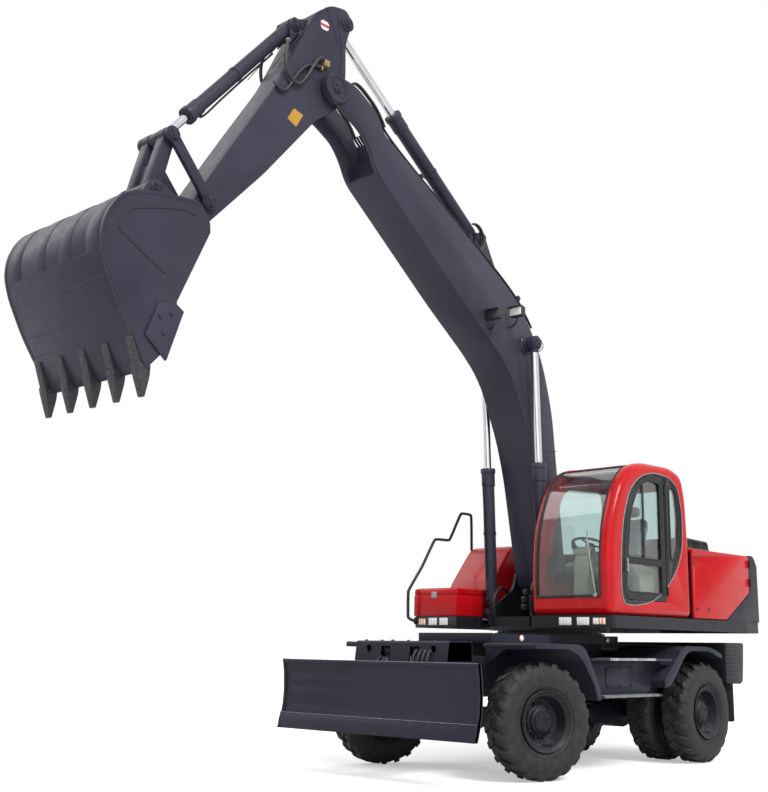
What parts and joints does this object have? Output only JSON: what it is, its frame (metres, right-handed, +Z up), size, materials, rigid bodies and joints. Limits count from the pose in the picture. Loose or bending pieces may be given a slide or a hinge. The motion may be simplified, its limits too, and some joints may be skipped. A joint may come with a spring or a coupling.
{
  "type": "wheeled excavator",
  "caption": "Wheeled excavator with twin rear wheels, a front dozer blade, a cab on a slewing upper body, and a boom, stick and toothed bucket on hydraulic cylinders.",
  "frame": {"origin": "on the ground, under the middle of the whole machine as parked", "axes": "+X forward, towards the blade and bucket; +Y the machine's left, the cab's side; +Z up"},
  "size_m": [9.1837, 2.6404, 7.5867],
  "materials": {
    "dark_paint": "satin blue-black paint",
    "cast_steel": "rough dark cast surface",
    "black_steel": "satin black paint",
    "engine_mass": "plain block standing for the engine",
    "tyre_rubber": "matt black rubber",
    "rim_paint": "satin grey paint",
    "red_paint": "glossy orange-red paint",
    "door_paint": "satin black paint",
    "glass": "clear safety glass",
    "seat_cover": "grey cloth",
    "beige_plastic": "matt beige moulding",
    "slate_paint": "semi-gloss slate blue paint",
    "chrome": "hard chrome"
  },
  "bodies": {
    "chassis": {"chassis_frame": "dark_paint", "nose_guard": "dark_paint", "slew_bearing": "black_steel", "front_axle": "dark_paint", "rear_axle": "dark_paint", "drive_line": "dark_paint", "rear_stowage_box": "dark_paint", "front_fender_left": "dark_paint", "rear_fender_left": "dark_paint", "side_steps_left": "dark_paint", "front_fender_right": "dark_paint", "rear_fender_right": "dark_paint", "side_steps_right": "dark_paint"},
    "steering_left": {"steering_knuckle_left": "cast_steel"},
    "steering_right": {"steering_knuckle_right": "cast_steel"},
    "front_wheel_left": {"front_tyre_left": "tyre_rubber", "front_rim_left": "rim_paint"},
    "front_wheel_right": {"front_tyre_right": "tyre_rubber", "front_rim_right": "rim_paint"},
    "rear_wheels_left": {"rear_outer_tyre_left": "tyre_rubber", "rear_inner_tyre_left": "tyre_rubber", "rear_rims_left": "rim_paint"},
    "rear_wheels_right": {"rear_outer_tyre_right": "tyre_rubber", "rear_inner_tyre_right": "tyre_rubber", "rear_rims_right": "rim_paint"},
    "dozer_blade": {"dozer_blade": "dark_paint"},
    "blade_barrel_left": {"blade_cylinder_barrel_left": "dark_paint"},
    "blade_barrel_right": {"blade_cylinder_barrel_right": "dark_paint"},
    "blade_rod_left": {"blade_cylinder_rod_left": "chrome"},
    "blade_rod_right": {"blade_cylinder_rod_right": "chrome"},
    "upper_structure": {"upper_frame": "black_steel", "counterweight": "dark_paint", "engine_block": "engine_mass", "fuel_tank": "red_paint", "toolbox": "red_paint", "handrail": "black_steel", "cab_shell": "red_paint", "windscreen": "glass", "operator_seat": "seat_cover", "control_console": "beige_plastic", "steering_column": "beige_plastic"},
    "cab_door": {"cab_door": "door_paint"},
    "service_door_left": {"service_door_left": "red_paint"},
    "service_door_right": {"service_door_right": "red_paint"},
    "engine_hood": {"engine_hood": "red_paint"},
    "toolbox_lid": {"toolbox_lid": "red_paint"},
    "boom": {"boom": "slate_paint"},
    "boom_barrels": {"boom_cylinder_barrel_left": "slate_paint", "boom_cylinder_barrel_right": "slate_paint"},
    "boom_rods": {"boom_cylinder_rod_left": "chrome", "boom_cylinder_rod_right": "chrome"},
    "stick": {"stick": "slate_paint"},
    "stick_barrel": {"stick_cylinder_barrel": "slate_paint"},
    "stick_rod": {"stick_cylinder_rod": "chrome"},
    "bucket": {"bucket": "slate_paint"},
    "guide_links": {"guide_links": "slate_paint"},
    "bucket_link": {"bucket_link": "slate_paint"},
    "bucket_barrel": {"bucket_cylinder_barrel": "slate_paint"},
    "bucket_rod": {"bucket_cylinder_rod": "chrome"}
  },
  "joints": [
    {"name": "steer_left", "type": "hinge", "parent": "chassis", "child": "steering_left", "pos_m": [-0.168, 0.935, 0.543], "axis": [0, 0, 1], "range_deg": [-15.5, 48.5]},
    {"name": "steer_right", "type": "hinge", "parent": "chassis", "child": "steering_right", "pos_m": [-0.168, -0.935, 0.543], "axis": [0, 0, 1], "range_deg": [-15.5, 48.5]},
    {"name": "front_wheel_left_roll", "type": "hinge", "parent": "steering_left", "child": "front_wheel_left", "pos_m": [-0.13619, 1.04239, 0.543], "axis": [0.284, 0.9588, 0], "continuous": true},
    {"name": "front_wheel_right_roll", "type": "hinge", "parent": "steering_right", "child": "front_wheel_right", "pos_m": [-0.19981, -1.04239, 0.543], "axis": [0.284, 0.9588, 0], "continuous": true},
    {"name": "rear_wheels_left_roll", "type": "hinge", "parent": "chassis", "child": "rear_wheels_left", "pos_m": [-3.101, 1.047, 0.543], "axis": [0, 1, 0], "continuous": true},
    {"name": "rear_wheels_right_roll", "type": "hinge", "parent": "chassis", "child": "rear_wheels_right", "pos_m": [-3.101, -1.047, 0.543], "axis": [0, 1, 0], "continuous": true},
    {"name": "blade_lift", "type": "hinge", "parent": "chassis", "child": "dozer_blade", "pos_m": [0.154, 0, 0.69], "axis": [0, -1, 0], "range_deg": [-24, 2]},
    {"name": "blade_cylinder_left", "type": "hinge", "parent": "chassis", "child": "blade_barrel_left", "pos_m": [0.574, 0.19, 1.16], "axis": [0, -1, 0], "range_deg": [-17.68, 2.39]},
    {"name": "blade_rod_left", "type": "slide", "parent": "blade_barrel_left", "child": "blade_rod_left", "axis": [0.606, 0, -0.7954], "range_m": [-0.0259, 0.2562]},
    {"name": "blade_cylinder_right", "type": "hinge", "parent": "chassis", "child": "blade_barrel_right", "pos_m": [0.574, -0.19, 1.16], "axis": [0, -1, 0], "range_deg": [-17.68, 2.39]},
    {"name": "blade_rod_right", "type": "slide", "parent": "blade_barrel_right", "child": "blade_rod_right", "axis": [0.606, 0, -0.7954], "range_m": [-0.0259, 0.2562]},
    {"name": "slew", "type": "hinge", "parent": "chassis", "child": "upper_structure", "pos_m": [-1.796, 0, 1.4], "axis": [0, 0, 1], "continuous": true},
    {"name": "cab_door_swing", "type": "hinge", "parent": "upper_structure", "child": "cab_door", "pos_m": [-2.2, 1.2773, 2.3], "axis": [0, 0, 1], "range_deg": [0, 120]},
    {"name": "service_door_left_swing", "type": "hinge", "parent": "upper_structure", "child": "service_door_left", "pos_m": [-4.105, 1.2833, 1.95], "axis": [0, 0, 1], "range_deg": [0, 110]},
    {"name": "service_door_right_swing", "type": "hinge", "parent": "upper_structure", "child": "service_door_right", "pos_m": [-4.105, -1.2833, 1.95], "axis": [0, 0, -1], "range_deg": [0, 110]},
    {"name": "engine_hood_lift", "type": "hinge", "parent": "upper_structure", "child": "engine_hood", "pos_m": [-4.084, 0, 2.338], "axis": [0, -1, 0], "range_deg": [0, 65]},
    {"name": "toolbox_lid_lift", "type": "hinge", "parent": "upper_structure", "child": "toolbox_lid", "pos_m": [-1.505, -0.955, 1.866], "axis": [0, -1, 0], "range_deg": [0, 75]},
    {"name": "boom_lift", "type": "hinge", "parent": "upper_structure", "child": "boom", "pos_m": [-1.896, -0.18, 1.98], "axis": [0, -1, 0], "range_deg": [-76, 6]},
    {"name": "boom_cylinders", "type": "hinge", "parent": "upper_structure", "child": "boom_barrels", "pos_m": [-1.461, -0.18, 1.59], "axis": [0, -1, 0], "range_deg": [-75, 7]},
    {"name": "boom_rods_slide", "type": "slide", "parent": "boom_barrels", "child": "boom_rods", "axis": [0.0398, 0, 0.9992], "range_m": [-0.71, 0.06]},
    {"name": "stick_swing", "type": "hinge", "parent": "boom", "child": "stick", "pos_m": [1.736, -0.18, 6.622], "axis": [0, 1, 0], "range_deg": [-60, 40]},
    {"name": "stick_cylinder_pivot", "type": "hinge", "parent": "boom", "child": "stick_barrel", "pos_m": [-0.706, -0.18, 5.74], "axis": [0, 1, 0], "range_deg": [-7, 6]},
    {"name": "stick_rod_slide", "type": "slide", "parent": "stick_barrel", "child": "stick_rod", "axis": [0.7966, 0, 0.6045], "range_m": [-0.775, 0.52]},
    {"name": "bucket_curl", "type": "hinge", "parent": "stick", "child": "bucket", "pos_m": [3.394, -0.18, 4.74], "axis": [0, 1, 0], "range_deg": [-35, 108]},
    {"name": "guide_link_pivot", "type": "hinge", "parent": "stick", "child": "guide_links", "pos_m": [3.209, -0.18, 5.01], "axis": [0, 1, 0], "range_deg": [-26, 77]},
    {"name": "bucket_link_pivot", "type": "hinge", "parent": "guide_links", "child": "bucket_link", "pos_m": [3.632, -0.18, 5.505], "axis": [0, 1, 0], "range_deg": [-31, 11]},
    {"name": "bucket_cylinder_pivot", "type": "hinge", "parent": "stick", "child": "bucket_barrel", "pos_m": [2.176, -0.18, 7.191], "axis": [0, 1, 0], "range_deg": [-3, 7]},
    {"name": "bucket_rod_slide", "type": "slide", "parent": "bucket_barrel", "child": "bucket_rod", "axis": [0.6536, 0, -0.7568], "range_m": [-0.245, 0.74]}
  ],
  "couplings": [
    {"joint": "steer_right", "follows": "steer_left", "ratio": 1},
    {"joint": "blade_cylinder_left", "follows": "blade_lift", "ratio": 0.6949},
    {"joint": "blade_rod_left", "follows": "blade_lift", "m_per_rad": -0.5998},
    {"joint": "blade_cylinder_right", "follows": "blade_lift", "ratio": 0.6949},
    {"joint": "blade_rod_right", "follows": "blade_lift", "m_per_rad": -0.5998},
    {"joint": "boom_cylinders", "follows": "boom_lift", "ratio": 0.9741},
    {"joint": "boom_rods_slide", "follows": "boom_lift", "m_per_rad": 0.5303},
    {"joint": "stick_cylinder_pivot", "follows": "stick_swing", "ratio": 0.0918},
    {"joint": "stick_rod_slide", "follows": "stick_swing", "m_per_rad": 0.7351},
    {"joint": "guide_link_pivot", "follows": "bucket_curl", "ratio": 0.695},
    {"joint": "bucket_link_pivot", "follows": "bucket_curl", "ratio": -0.275},
    {"joint": "bucket_cylinder_pivot", "follows": "bucket_curl", "ratio": 0.0475},
    {"joint": "bucket_rod_slide", "follows": "bucket_curl", "m_per_rad": 0.388}
  ]
}
